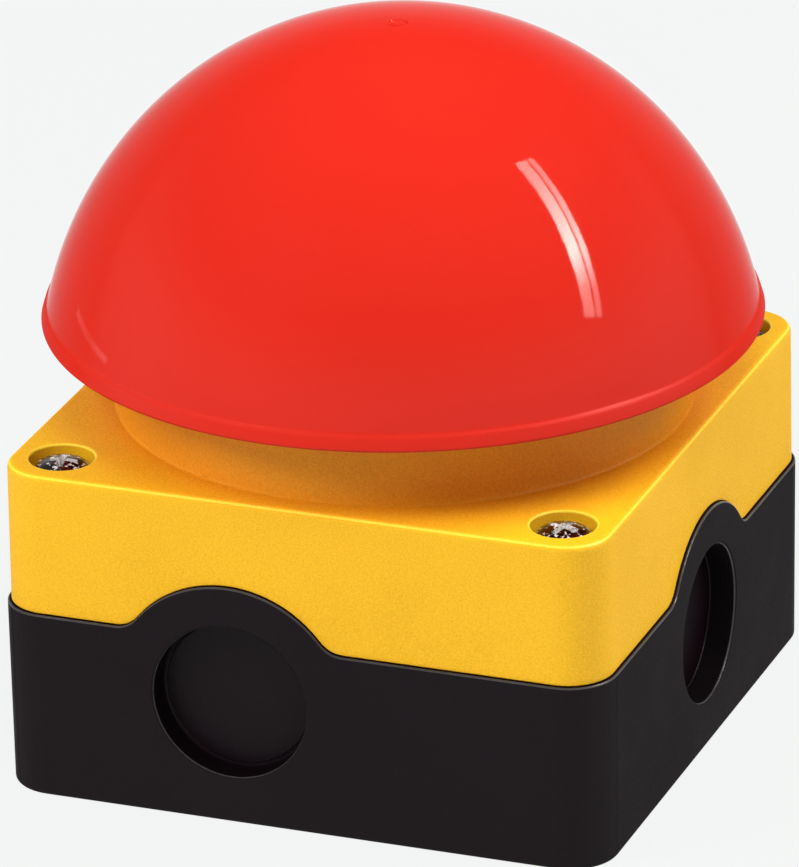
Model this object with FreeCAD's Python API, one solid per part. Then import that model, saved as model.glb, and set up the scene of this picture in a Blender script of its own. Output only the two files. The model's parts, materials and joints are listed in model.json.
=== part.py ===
import FreeCAD, Part
import math
import os

from FreeCAD import Vector

# Sizes in millimetres. +Z is up, the front face looks along -Y, and z = 0 is the surface it stands on.

# Square body
BODY_WIDTH = 85.0
BODY_HEIGHT = 46.0
BODY_DRAFT = 0.15
CORNER_RADIUS = 6.5
HOUSING_WALL = 3.0
HOUSING_FLOOR = 3.0
COVER_INSET = 0.4
COVER_DRAFT = 0.15
COVER_WALL = 2.8
COVER_ROOF = 3.0
COVER_EDGE_RADIUS = 0.8

# Joint line between the two halves, which arches over each cable entry
SEAM_HEIGHT = 26.2
ARCH_MARGIN = 5.7
ARCH_FILLET = 4.0
GASKET_INSET = 0.9
GASKET_WIDTH = 1.4
GASKET_DEPTH = 1.2

# Blind cable entries, one in the front face and one in the right face
ENTRY_RADIUS = 10.75
ENTRY_HEIGHT = 17.4
ENTRY_DEPTH = 3.5
ENTRY_CHAMFER = 0.35
ENTRY_RIM = 2.4
MEMBRANE = 1.2
SCORE_INSET = 0.3
SCORE_WIDTH = 0.8
SCORE_DEPTH = 0.5
FRONT_ENTRY_X = -9.2
SIDE_ENTRY_Y = 1.2

# Screws that close the housing, and the holes that hold it to a floor
SCREW_OFFSET = 35.0
SCREW_RADIUS = 2.0
SCREW_HEAD_RADIUS = 3.8
SCREW_HEAD_HEIGHT = 2.6
SCREW_REACH = 10.0
CROSS_WIDTH = 0.9
CROSS_SPAN = 4.4
CROSS_DEPTH = 1.5
COUNTERBORE_RADIUS = 4.35
COUNTERBORE_CHAMFER = 0.3
HEAD_SINK = 0.3
SEAL_THICKNESS = 1.0
INSERT_WALL = 1.0
INSERT_LENGTH = 8.0
INSERT_SINK = 1.0
POST_WALL = 1.9
COVER_POST_WALL = 1.4
MOUNT_SPACING_X = 60.0
MOUNT_SPACING_Y = 44.0
MOUNT_HOLE_RADIUS = 2.75
MOUNT_BOSS_WALL = 2.75
MOUNT_BOSS_RISE = 1.0
FOOT_RECESS = 0.8
FOOT_LAND = 4.0
FOOT_EDGE_RADIUS = 0.6
FOOT_CENTRE_RADIUS = 12.0

# Round collar under the dome, and the tube that guides the stem
COLLAR_RADIUS = 38.4
COLLAR_HEIGHT = 14.0
COLLAR_SLOPE = 2.6
COLLAR_EDGE_RADIUS = 2.0
GUIDE_DROP = 6.0
GUIDE_RISE = 6.0
GUIDE_WALL = 3.5
GUSSET_COUNT = 6
GUSSET_THICKNESS = 2.0
GUSSET_HEIGHT = 8.0

# Dome
DOME_RADIUS = 48.7
DOME_RISE = 50.7
DOME_HEIGHT = 40.9
DOME_WALL = 3.0
RIM_GAP = 11.5
RIM_BAND = 2.2
RIM_LIP = 0.3
RIM_EDGE_RADIUS = 0.5
DOME_BOSS_RADIUS = 9.0
DOME_RIB_COUNT = 8
DOME_RIB_THICKNESS = 1.8
SPROUT_RADIUS = 1.6
SPROUT_DEPTH = 0.25

# Stem and what it carries
TRAVEL = 6.0
STOP_RESERVE = 0.5
RUNNING_FIT = 0.05
STEM_RADIUS = 7.0
BUSH_WALL = 2.45
BUSH_FLANGE = 1.5
BUSH_FLANGE_WIDTH = 2.5
WIPER_HEIGHT = 2.5
WIPER_WIDTH = 3.6
WASHER_THICKNESS = 1.0
WASHER_WIDTH = 5.0
PLATE_LENGTH = 30.0
PLATE_WIDTH = 14.0
PLATE_THICKNESS = 5.0
CENTRE_SCREW_RADIUS = 2.5
CENTRE_HEAD_RADIUS = 4.25
CENTRE_HEAD_HEIGHT = 3.0
CENTRE_HEAD_SINK = 0.4
CENTRE_INSERT_LENGTH = 10.0
FITTING_GAP = 0.1

# Return spring
SPRING_RADIUS = 16.6
SPRING_WIRE_RADIUS = 1.1
SPRING_TURNS = 4.0
SPRING_SEAT_HEIGHT = 24.0
SPRING_SEAT_WIDTH = 6.0
SPRING_SEAT_GAP = 0.05

# Contact carrier on the floor of the housing
RAIL_HEIGHT = 2.0
RAIL_WIDTH = 3.0
CARRIER_THICKNESS = 2.0
CARRIER_BORDER = 2.0
CARRIER_CORNER = 2.0
TAB_THICKNESS = 1.5
TAB_WIDTH = 7.0
TAB_HEIGHT = 4.0
CARRIER_SCREW_Y = 14.0
CARRIER_SCREW_RADIUS = 1.5
CARRIER_HEAD_RADIUS = 2.8
CARRIER_HEAD_HEIGHT = 2.0
CARRIER_BOSS_WALL = 2.2

# Contact blocks
BLOCK_PITCH = 20.0
BLOCK_WIDTH = 11.0
BLOCK_LENGTH = 34.0
TOWER_LENGTH = 19.0
BLOCK_WALL = 1.3
BLOCK_SIDE_WALL = 2.0
BLOCK_LID = 1.0
BLOCK_ROOF = 2.0
BLOCK_FLOOR = 2.5
CHEEK_WALL = 1.2
CHEEK_DROP = 7.5
PLUNGER_RADIUS = 2.5
CROSSHEAD_WIDTH = 6.4
CROSSHEAD_LENGTH = 7.0
CROSSHEAD_HEIGHT = 5.5
BRIDGE_SEAT = 0.9
WINDOW_HEIGHT = 2.2
BRIDGE_LENGTH = 14.8
BRIDGE_WIDTH = 4.4
BRIDGE_THICKNESS = 0.8
TIP_RADIUS = 1.2
TIP_HEIGHT = 0.6
TIP_SPACING = 12.0
CONTACT_RESERVE = 0.05
STRIP_WIDTH = 5.0
STRIP_THICKNESS = 0.8
STRIP_REACH = 4.8
CONTACT_SPRING_RADIUS = 1.8
CONTACT_SPRING_WIRE = 0.3
CONTACT_SPRING_TURNS = 5.0
CLAMP_LENGTH = 5.6
CLAMP_WIDTH = 6.0
CLAMP_THICKNESS = 1.2
TERMINAL_SCREW_RADIUS = 1.5
TERMINAL_HEAD_RADIUS = 2.6
TERMINAL_HEAD_HEIGHT = 1.8
TERMINAL_FLOOR = 3.75
SLOT_WIDTH = 0.8
SLOT_DEPTH = 0.9

# Levels that follow from the sizes above
HALF_WIDTH = BODY_WIDTH / 2
COLLAR_TOP = BODY_HEIGHT + COLLAR_HEIGHT
RIM_Z = BODY_HEIGHT + RIM_GAP
DOME_TOP = RIM_Z + DOME_HEIGHT
DOME_CENTRE_Z = DOME_TOP - DOME_RISE
GUIDE_LOW = BODY_HEIGHT - GUIDE_DROP
GUIDE_TOP = COLLAR_TOP + GUIDE_RISE
BUSH_TOP = GUIDE_TOP + BUSH_FLANGE
WIPER_TOP = BUSH_TOP + WIPER_HEIGHT
STEM_TOP = WIPER_TOP + TRAVEL + STOP_RESERVE
STEM_LOW = GUIDE_LOW - WASHER_THICKNESS
PLATE_LOW = STEM_LOW - PLATE_THICKNESS
BLOCK_TOP = PLATE_LOW - TRAVEL - STOP_RESERVE
CARRIER_LOW = HOUSING_FLOOR + RAIL_HEIGHT
BLOCK_LOW = CARRIER_LOW + CARRIER_THICKNESS
CHAMBER_TOP = BLOCK_TOP - BLOCK_ROOF
CHAMBER_LOW = BLOCK_LOW + BLOCK_FLOOR
CROSSHEAD_LOW = CHAMBER_TOP - CROSSHEAD_HEIGHT
SPRING_TOP = COLLAR_TOP + SPRING_SEAT_HEIGHT
COUNTERBORE_LOW = BODY_HEIGHT - HEAD_SINK - SCREW_HEAD_HEIGHT - SEAL_THICKNESS
INSERT_TOP = SEAM_HEIGHT - INSERT_SINK
ARCH_RADIUS = ENTRY_RADIUS + ARCH_MARGIN
ENTRY_BACK = ENTRY_DEPTH + MEMBRANE
GUIDE_RADIUS = STEM_RADIUS + RUNNING_FIT + BUSH_WALL
INSERT_RADIUS = SCREW_RADIUS + INSERT_WALL

# Bridge levels: the normally open bridge hangs over its contacts, the normally closed one lies under them
OPEN_BRIDGE_TOP = CHAMBER_TOP - BRIDGE_SEAT
OPEN_TIP_LOW = OPEN_BRIDGE_TOP - BRIDGE_THICKNESS - TIP_HEIGHT
SEAT_TOP = OPEN_TIP_LOW - TRAVEL - CONTACT_RESERVE - TIP_HEIGHT
SEAT_LOW = SEAT_TOP - STRIP_THICKNESS
CLOSED_BRIDGE_LOW = CROSSHEAD_LOW + BRIDGE_SEAT
CLOSED_TIP_TOP = CLOSED_BRIDGE_LOW + BRIDGE_THICKNESS + TIP_HEIGHT
CLOSED_STRIP_LOW = CLOSED_TIP_TOP + TIP_HEIGHT
TERMINAL_Y = (TOWER_LENGTH + BLOCK_LENGTH) / 4

UP = Vector(0, 0, 1)
CORNERS = [(x, y) for x in (-SCREW_OFFSET, SCREW_OFFSET) for y in (-SCREW_OFFSET, SCREW_OFFSET)]
MOUNT_HOLES = [(x * MOUNT_SPACING_X / 2, y * MOUNT_SPACING_Y / 2) for x in (-1, 1) for y in (-1, 1)]
CARRIER_SCREWS = [(0, -CARRIER_SCREW_Y), (0, CARRIER_SCREW_Y)]


# Basic forms

def cylinder(radius, low, high, x=0, y=0):
    return Part.makeCylinder(radius, high - low, Vector(x, y, low))


def ring(outer, inner, low, high, x=0, y=0):
    return cylinder(outer, low, high, x, y).cut(cylinder(inner, low, high, x, y))


def block(x_range, y_range, z_range):
    size = [high - low for low, high in (x_range, y_range, z_range)]
    return Part.makeBox(*size, Vector(x_range[0], y_range[0], z_range[0]))


def centred(length, middle=0):
    return (middle - length / 2, middle + length / 2)


def fuse(shapes):
    return shapes[0].multiFuse(shapes[1:]).removeSplitter()


def cut(shape, tools):
    return shape.cut(tools).removeSplitter()


def polygon(points):
    return Part.makePolygon(points + points[:1])


def turned(outline):
    """Solid of revolution about Z from (radius, z) points."""
    wire = polygon([Vector(radius, 0, z) for radius, z in outline])
    return Part.Face(wire).revolve(Vector(), UP, 360)


def rounded_rectangle(half_x, half_y, radius, z):
    arcs = []
    for quarter, (side_x, side_y) in enumerate([(1, 1), (-1, 1), (-1, -1), (1, -1)]):
        middle = Vector(side_x * (half_x - radius), side_y * (half_y - radius), z)
        start = quarter * math.pi / 2
        arcs.append(Part.Arc(Part.Circle(middle, UP, radius), start, start + math.pi / 2).toShape())
    edges = []
    for arc, following in zip(arcs, arcs[1:] + arcs[:1]):
        corner_end = arc.valueAt(arc.LastParameter)
        next_start = following.valueAt(following.FirstParameter)
        edges += [arc, Part.makeLine(corner_end, next_start)]
    return Part.Wire(edges)


def rounded_block(half_x, half_y, radius, low, high):
    face = Part.Face(rounded_rectangle(half_x, half_y, radius, low))
    return face.extrude(Vector(0, 0, high - low))


def drafted_block(half_low, half_high, radius, low, high):
    wires = [rounded_rectangle(half_low, half_low, radius, low)]
    wires.append(rounded_rectangle(half_high, half_high, radius, high))
    return Part.makeLoft(wires, True, True)


def edges_at(shape, z):
    return [edge for edge in shape.Edges if all(abs(vertex.Z - z) < 1e-6 for vertex in edge.Vertexes)]


def cross_recess(x, y, top):
    """Cross-shaped driver socket that narrows downwards."""
    arms = []
    for span, width in ((CROSS_SPAN, CROSS_WIDTH), (CROSS_WIDTH, CROSS_SPAN)):
        low = rounded_rectangle(span * 0.3, width * 0.3, CROSS_WIDTH * 0.2, top - CROSS_DEPTH)
        high = rounded_rectangle(span / 2, width / 2, CROSS_WIDTH * 0.3, top)
        arms.append(Part.makeLoft([low, high], True, True))
    socket = arms[0].fuse(arms[1])
    socket.translate(Vector(x, y, 0))
    return socket


def helical_spring(radius, wire_radius, turns, low, high):
    """Round wire on a helix, seated between two levels and swept along spans of up to half a turn."""
    first = low + wire_radius + SPRING_SEAT_GAP
    height = high - low - 2 * (wire_radius + SPRING_SEAT_GAP)
    spans = math.ceil(2 * turns)
    path = []
    for step in range(spans):
        span = Part.makeHelix(height / turns, height / spans, radius)
        span.rotate(Vector(), UP, 360 * turns * step / spans)
        span.translate(Vector(0, 0, first + height * step / spans))
        path += span.Edges
    circle = Part.makeCircle(wire_radius, Vector(radius, 0, first), Vector(0, 1, 0))
    return Part.Wire(path).makePipeShell([Part.Wire(circle)], True, True)


# The joint line: everything below it belongs to the lower housing

def arch_outline(centre, raised, place):
    """Arch over a cable entry with a hollow fillet on each flank, drawn by place(along, z)."""
    arch = ARCH_RADIUS + raised
    fillet = ARCH_FILLET - raised
    flank = SEAM_HEIGHT + raised
    rise = flank + fillet - ENTRY_HEIGHT
    spread = math.sqrt((arch + fillet) ** 2 - rise ** 2)
    share = arch / (arch + fillet)
    lean = math.atan2(spread, rise) / 2
    foot = flank - ARCH_MARGIN

    def half(side):
        bottom = place(centre + side * spread, flank)
        swing = spread - fillet * math.sin(lean)
        middle = place(centre + side * swing, flank + fillet * (1 - math.cos(lean)))
        tangent = place(centre + side * spread * share, ENTRY_HEIGHT + rise * share)
        return bottom, middle, tangent

    left = half(-1)
    right = half(1)
    crown = place(centre, ENTRY_HEIGHT + arch)
    low_left = place(centre - spread, foot)
    low_right = place(centre + spread, foot)
    edges = [Part.makeLine(low_left, left[0])]
    edges.append(Part.Arc(left[0], left[1], left[2]).toShape())
    edges.append(Part.Arc(left[2], crown, right[2]).toShape())
    edges.append(Part.Arc(right[2], right[1], right[0]).toShape())
    edges.append(Part.makeLine(right[0], low_right))
    edges.append(Part.makeLine(low_right, low_left))
    return Part.Face(Part.Wire(edges))


def below_seam(raised=0.0):
    """Space under the joint line, or under a line that far above it."""
    inner = HALF_WIDTH - 2 * HOUSING_WALL
    front = arch_outline(FRONT_ENTRY_X, raised, lambda along, z: Vector(along, -BODY_WIDTH, z))
    side = arch_outline(SIDE_ENTRY_Y, raised, lambda along, z: Vector(BODY_WIDTH, along, z))
    reach = BODY_WIDTH - inner
    slab = block((-BODY_WIDTH, BODY_WIDTH), (-BODY_WIDTH, BODY_WIDTH), (-1, SEAM_HEIGHT + raised))
    return fuse([slab, front.extrude(Vector(0, reach, 0)), side.extrude(Vector(-reach, 0, 0))])


def at_entries(make):
    """The same solid, made along an inward axis, at the front entry and at the right entry."""
    front = make().copy()
    front.rotate(Vector(), UP, 90)
    front.translate(Vector(FRONT_ENTRY_X, -HALF_WIDTH, ENTRY_HEIGHT))
    side = make().copy()
    side.rotate(Vector(), UP, 180)
    side.translate(Vector(HALF_WIDTH, SIDE_ENTRY_Y, ENTRY_HEIGHT))
    return [front, side]


def entry_pad():
    """Thick round pad behind a cable entry, along +X from the wall's outer face."""
    return Part.makeCylinder(ENTRY_RADIUS + ENTRY_RIM, ENTRY_BACK - 1, Vector(1, 0, 0), Vector(1, 0, 0))


def entry_recess():
    """Round blind recess, chamfered at its mouth and scored round its floor so that it breaks out."""
    axis = Vector(1, 0, 0)
    bore = Part.makeCylinder(ENTRY_RADIUS, ENTRY_DEPTH + 2, Vector(-2, 0, 0), axis)
    flare = ENTRY_CHAMFER + BODY_DRAFT
    mouth = Part.makeCone(ENTRY_RADIUS + flare, ENTRY_RADIUS, flare, Vector(-BODY_DRAFT, 0, 0), axis)
    score_radius = ENTRY_RADIUS - SCORE_INSET
    score = Part.makeCylinder(score_radius, ENTRY_DEPTH + SCORE_DEPTH, Vector(), axis)
    core = Part.makeCylinder(score_radius - SCORE_WIDTH, ENTRY_DEPTH + SCORE_DEPTH, Vector(), axis)
    return fuse([bore, mouth, score.cut(core)])


# Housing

def gasket_ring():
    """Cord of the gasket, which follows the joint line round the wall."""
    outer = HALF_WIDTH - GASKET_INSET
    inner = outer - GASKET_WIDTH
    top = BODY_HEIGHT
    wide = rounded_block(outer, outer, CORNER_RADIUS - GASKET_INSET, 0, top)
    narrow = rounded_block(inner, inner, CORNER_RADIUS - GASKET_INSET - GASKET_WIDTH, 0, top)
    return wide.cut(narrow).common(below_seam()).cut(below_seam(-GASKET_DEPTH))


def foot_recess():
    """Shallow hollow of the underside, leaving lands at the rim, the middle and each screw hole."""
    half = HALF_WIDTH - BODY_DRAFT - FOOT_LAND
    hollow = rounded_block(half, half, CORNER_RADIUS - FOOT_LAND / 2, 0, FOOT_RECESS)
    lands = [cylinder(FOOT_CENTRE_RADIUS, 0, FOOT_RECESS)]
    for x, y in MOUNT_HOLES:
        lands.append(cylinder(MOUNT_HOLE_RADIUS + MOUNT_BOSS_WALL, 0, FOOT_RECESS, x, y))
    return hollow.cut(lands)


def lower_housing():
    crown = ENTRY_HEIGHT + ARCH_RADIUS + 1
    top_half = HALF_WIDTH - BODY_DRAFT + BODY_DRAFT * crown / SEAM_HEIGHT
    shell = drafted_block(HALF_WIDTH - BODY_DRAFT, top_half, CORNER_RADIUS, 0, crown)
    shell = shell.makeFillet(FOOT_EDGE_RADIUS, edges_at(shell, 0)).common(below_seam())
    inner_half = HALF_WIDTH - HOUSING_WALL
    cavity = rounded_block(inner_half, inner_half, CORNER_RADIUS - HOUSING_WALL, HOUSING_FLOOR, crown)
    shell = shell.cut(cavity)
    added = [cylinder(INSERT_RADIUS + POST_WALL, 1, SEAM_HEIGHT, x, y) for x, y in CORNERS]
    added += at_entries(entry_pad)
    for x, y in MOUNT_HOLES:
        boss_top = HOUSING_FLOOR + MOUNT_BOSS_RISE
        added.append(cylinder(MOUNT_HOLE_RADIUS + MOUNT_BOSS_WALL, 1, boss_top, x, y))
    for x, y in CARRIER_SCREWS:
        added.append(cylinder(CARRIER_SCREW_RADIUS + CARRIER_BOSS_WALL, 1, CARRIER_LOW, x, y))
    for side in (-1, 1):
        rail = centred(RAIL_WIDTH, side * BLOCK_PITCH / 2)
        added.append(block(rail, centred(BLOCK_LENGTH), (1, CARRIER_LOW)))
    removed = [cylinder(INSERT_RADIUS, INSERT_TOP - SCREW_REACH, SEAM_HEIGHT, x, y) for x, y in CORNERS]
    removed += at_entries(entry_recess)
    removed += [cylinder(MOUNT_HOLE_RADIUS, 0, BODY_HEIGHT, x, y) for x, y in MOUNT_HOLES]
    for x, y in CARRIER_SCREWS:
        removed.append(cylinder(CARRIER_SCREW_RADIUS, HOUSING_FLOOR / 2, CARRIER_LOW, x, y))
    removed += [foot_recess(), gasket_ring()]
    return cut(fuse([shell] + added), removed)


def cover_skin():
    """Outer form of the cover, square body and round collar, with its edges broken."""
    low_half = HALF_WIDTH - COVER_INSET
    top_half = low_half - COVER_DRAFT
    body = drafted_block(low_half, top_half, CORNER_RADIUS - COVER_INSET, 0, BODY_HEIGHT)
    body = body.makeFillet(COVER_EDGE_RADIUS, edges_at(body, BODY_HEIGHT))
    base = Vector(0, 0, BODY_HEIGHT)
    collar = Part.makeCone(COLLAR_RADIUS, COLLAR_RADIUS - COLLAR_SLOPE, COLLAR_HEIGHT, base)
    collar = collar.makeFillet(COLLAR_EDGE_RADIUS, edges_at(collar, COLLAR_TOP))
    return body.fuse(collar)


def cover_hollow():
    """Inner space of the cover, under the roof and up inside the collar."""
    half = HALF_WIDTH - COVER_INSET - COVER_DRAFT - COVER_WALL
    radius = CORNER_RADIUS - COVER_INSET - COVER_WALL
    room = rounded_block(half, half, radius, 0, BODY_HEIGHT - COVER_ROOF)
    wide = COLLAR_RADIUS - COVER_WALL
    low = BODY_HEIGHT - COVER_ROOF - 1
    high = COLLAR_TOP - COVER_ROOF
    tower = Part.makeCone(wide, wide - COLLAR_SLOPE, high - low, Vector(0, 0, low))
    return room.fuse(tower)


def guide_gussets():
    """Webs that tie the guide tube to the collar's roof and wall."""
    high = COLLAR_TOP - COVER_ROOF + 1
    reach = (GUIDE_RADIUS + 1, COLLAR_RADIUS - COLLAR_SLOPE - 1)
    web = block(reach, centred(GUSSET_THICKNESS), (high - GUSSET_HEIGHT, high))
    webs = []
    for step in range(GUSSET_COUNT):
        turned_web = web.copy()
        turned_web.rotate(Vector(), UP, 30 + step * 360 / GUSSET_COUNT)
        webs.append(turned_web)
    return webs


def upper_cover():
    skin = cover_skin()
    tube = cylinder(GUIDE_RADIUS + GUIDE_WALL, GUIDE_LOW, GUIDE_TOP)
    posts = [cylinder(COUNTERBORE_RADIUS + COVER_POST_WALL, 0, BODY_HEIGHT - 1, x, y) for x, y in CORNERS]
    added = [post.common(skin) for post in posts] + guide_gussets() + [tube]
    shell = fuse([skin.cut(cover_hollow())] + added)
    removed = [below_seam(), cylinder(GUIDE_RADIUS, 0, DOME_TOP)]
    rim = COUNTERBORE_RADIUS + COUNTERBORE_CHAMFER
    for x, y in CORNERS:
        removed.append(cylinder(SCREW_RADIUS + FITTING_GAP, 0, BODY_HEIGHT, x, y))
        removed.append(cylinder(COUNTERBORE_RADIUS, COUNTERBORE_LOW, BODY_HEIGHT + 1, x, y))
        mouth = Vector(x, y, BODY_HEIGHT - COUNTERBORE_CHAMFER)
        removed.append(Part.makeCone(COUNTERBORE_RADIUS, rim, COUNTERBORE_CHAMFER, mouth))
    return cut(shell, removed)


def cover_screw(x, y):
    """Pan-head screw with a cross recess."""
    seat = COUNTERBORE_LOW + SEAL_THICKNESS
    top = seat + SCREW_HEAD_HEIGHT
    low = INSERT_TOP - SCREW_REACH + 1
    head = cylinder(SCREW_HEAD_RADIUS, seat, top, x, y)
    head = head.makeFillet(SCREW_HEAD_HEIGHT * 0.4, edges_at(head, top))
    shank = cylinder(SCREW_RADIUS, low, seat, x, y)
    shank = shank.makeChamfer(SCREW_RADIUS * 0.3, edges_at(shank, low))
    return cut(head.fuse(shank), [cross_recess(x, y, top)])


def screw_seal(x, y):
    """Soft washer under a cover screw's head."""
    return ring(SCREW_HEAD_RADIUS, SCREW_RADIUS, COUNTERBORE_LOW, COUNTERBORE_LOW + SEAL_THICKNESS, x, y)


def cover_insert(x, y):
    """Threaded bush in a corner post, with a groove round its waist."""
    low = INSERT_TOP - INSERT_LENGTH
    body = ring(INSERT_RADIUS, SCREW_RADIUS, low, INSERT_TOP, x, y)
    waist = centred(INSERT_LENGTH * 0.2, (low + INSERT_TOP) / 2)
    groove = ring(INSERT_RADIUS, INSERT_RADIUS - INSERT_WALL * 0.4, waist[0], waist[1], x, y)
    return body.cut(groove)


# Dome and what moves with it

def dome_radius_at(z, wall=0.0):
    """Radius of the spheroid's outer face, or of the face one wall inside it, at a level."""
    height = (z - DOME_CENTRE_Z) / (DOME_RISE - wall)
    return (DOME_RADIUS - wall) * math.sqrt(1 - height ** 2)


def dome_curve(low, wall):
    """Meridian of the spheroid from a level up to the axis."""
    first = math.asin((low - DOME_CENTRE_Z) / (DOME_RISE - wall))
    points = []
    for step in range(9):
        angle = first + (math.pi / 2 - first) * step / 8
        radius = (DOME_RADIUS - wall) * math.cos(angle)
        points.append(Vector(radius, 0, DOME_CENTRE_Z + (DOME_RISE - wall) * math.sin(angle)))
    points[-1].x = 0
    slope = Vector(-(DOME_RADIUS - wall) * math.sin(first), 0, (DOME_RISE - wall) * math.cos(first))
    curve = Part.BSplineCurve()
    curve.interpolate(points, InitialTangent=slope.normalize(), FinalTangent=Vector(-1, 0, 0))
    return curve.toShape()


def dome_shell():
    """Domed cap with a proud band round its rim, turned about the axis."""
    band_top = RIM_Z + RIM_BAND
    shoulder = dome_radius_at(band_top)
    foot = Vector(dome_radius_at(RIM_Z) + RIM_LIP, 0, RIM_Z)
    top = Vector(shoulder + RIM_LIP, 0, band_top)
    edges = [dome_curve(band_top, 0.0), dome_curve(RIM_Z, DOME_WALL)]
    edges.append(Part.makeLine(Vector(shoulder, 0, band_top), top))
    edges.append(Part.makeLine(top, foot))
    edges.append(Part.makeLine(foot, Vector(dome_radius_at(RIM_Z, DOME_WALL), 0, RIM_Z)))
    edges.append(Part.makeLine(Vector(0, 0, DOME_TOP - DOME_WALL), Vector(0, 0, DOME_TOP)))
    shell = Part.Face(Part.Wire(Part.__sortEdges__(edges))).revolve(Vector(), UP, 360)
    rim_edges = [edge for edge in edges_at(shell, RIM_Z) if edge.Vertexes[0].X > foot.x - DOME_WALL / 2]
    return shell.makeFillet(RIM_EDGE_RADIUS, rim_edges)


def dome_core():
    """Solid inside of the dome, which trims the boss and the ribs."""
    edges = [dome_curve(RIM_Z, DOME_WALL * 0.7)]
    bottom = Vector(0, 0, RIM_Z)
    edges.append(Part.makeLine(Vector(dome_radius_at(RIM_Z, DOME_WALL * 0.7), 0, RIM_Z), bottom))
    edges.append(Part.makeLine(bottom, Vector(0, 0, DOME_TOP - DOME_WALL * 0.7)))
    return Part.Face(Part.Wire(Part.__sortEdges__(edges))).revolve(Vector(), UP, 360)


def dome_rib(angle):
    """Radial web from the boss over the spring seat out to the wall."""
    seat = SPRING_TOP
    knee = COLLAR_TOP + TRAVEL + 2
    reach = SPRING_RADIUS + SPRING_SEAT_WIDTH / 2
    outer = COLLAR_RADIUS
    outline = [(DOME_BOSS_RADIUS - 1, seat), (reach, seat), (outer, knee), (DOME_RADIUS, knee)]
    outline += [(DOME_RADIUS, DOME_TOP), (DOME_BOSS_RADIUS - 1, DOME_TOP)]
    shift = -DOME_RIB_THICKNESS / 2
    web = Part.Face(polygon([Vector(x, shift, z) for x, z in outline]))
    web = web.extrude(Vector(0, DOME_RIB_THICKNESS, 0))
    web.rotate(Vector(), UP, angle)
    return web


def dome():
    """Dome with the boss that meets the stem, the seat of the return spring and the webs between."""
    added = [cylinder(DOME_BOSS_RADIUS, STEM_TOP, DOME_TOP)]
    half_seat = SPRING_SEAT_WIDTH / 2
    added.append(ring(SPRING_RADIUS + half_seat, SPRING_RADIUS - half_seat, SPRING_TOP, DOME_TOP))
    added += [dome_rib(step * 360 / DOME_RIB_COUNT) for step in range(DOME_RIB_COUNT)]
    core = dome_core()
    body = fuse([dome_shell()] + [piece.common(core) for piece in added])
    pocket = cylinder(CENTRE_SCREW_RADIUS + INSERT_WALL, STEM_TOP, STEM_TOP + CENTRE_INSERT_LENGTH + 1)
    mark = ring(SPROUT_RADIUS, SPROUT_RADIUS / 2, DOME_TOP - SPROUT_DEPTH, DOME_TOP + 1)
    return cut(body, [pocket, mark])


def dome_insert():
    top = STEM_TOP + CENTRE_INSERT_LENGTH
    return ring(CENTRE_SCREW_RADIUS + INSERT_WALL, CENTRE_SCREW_RADIUS, STEM_TOP, top)


def plunger_stem():
    """Hollow stem between the bar and the boss of the dome."""
    return ring(STEM_RADIUS, CENTRE_SCREW_RADIUS + FITTING_GAP, STEM_LOW, STEM_TOP)


def actuator_plate():
    """Round-ended bar that carries the stem's push to both contact blocks."""
    half_width = PLATE_WIDTH / 2
    bar = rounded_block(PLATE_LENGTH / 2, half_width, half_width * 0.999, PLATE_LOW, STEM_LOW)
    bar = bar.makeFillet(PLATE_THICKNESS * 0.12, edges_at(bar, PLATE_LOW))
    seat = PLATE_LOW + CENTRE_HEAD_SINK + CENTRE_HEAD_HEIGHT
    bore = cylinder(CENTRE_SCREW_RADIUS + FITTING_GAP, PLATE_LOW, STEM_LOW)
    return cut(bar, [bore, cylinder(CENTRE_HEAD_RADIUS + FITTING_GAP, PLATE_LOW, seat)])


def dome_screw():
    """Long screw that clamps bar, stem and dome together from below."""
    low = PLATE_LOW + CENTRE_HEAD_SINK
    seat = low + CENTRE_HEAD_HEIGHT
    shank = cylinder(CENTRE_SCREW_RADIUS, seat, STEM_TOP + CENTRE_INSERT_LENGTH)
    socket = block(centred(CENTRE_HEAD_RADIUS * 1.3), centred(SLOT_WIDTH), (low, low + SLOT_DEPTH))
    cross = block(centred(SLOT_WIDTH), centred(CENTRE_HEAD_RADIUS * 1.3), (low, low + SLOT_DEPTH))
    return cut(cylinder(CENTRE_HEAD_RADIUS, low, seat).fuse(shank), [socket, cross])


def guide_bush():
    bore = STEM_RADIUS + RUNNING_FIT
    body = cylinder(GUIDE_RADIUS, GUIDE_LOW, GUIDE_TOP)
    flange = cylinder(GUIDE_RADIUS + BUSH_FLANGE_WIDTH, GUIDE_TOP, BUSH_TOP)
    return cut(body.fuse(flange), [cylinder(bore, GUIDE_LOW, BUSH_TOP)])


def wiper_seal():
    """Lip seal whose top leans in to the stem."""
    bore = STEM_RADIUS + RUNNING_FIT
    outer = bore + WIPER_WIDTH
    lip = bore + WIPER_WIDTH / 4
    outline = [(lip, BUSH_TOP), (outer, BUSH_TOP), (outer, BUSH_TOP + WIPER_HEIGHT / 2)]
    outline += [(lip, WIPER_TOP), (bore, WIPER_TOP), (bore, WIPER_TOP - WIPER_HEIGHT / 3)]
    return turned(outline)


def stop_washer():
    """Soft washer under the guide tube that the bar rises against."""
    inner = STEM_RADIUS + 2 * FITTING_GAP
    return ring(inner + WASHER_WIDTH, inner, STEM_LOW, GUIDE_LOW)


def return_spring():
    return helical_spring(SPRING_RADIUS, SPRING_WIRE_RADIUS, SPRING_TURNS, COLLAR_TOP, SPRING_TOP)


# Contact carrier and contact blocks

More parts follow.
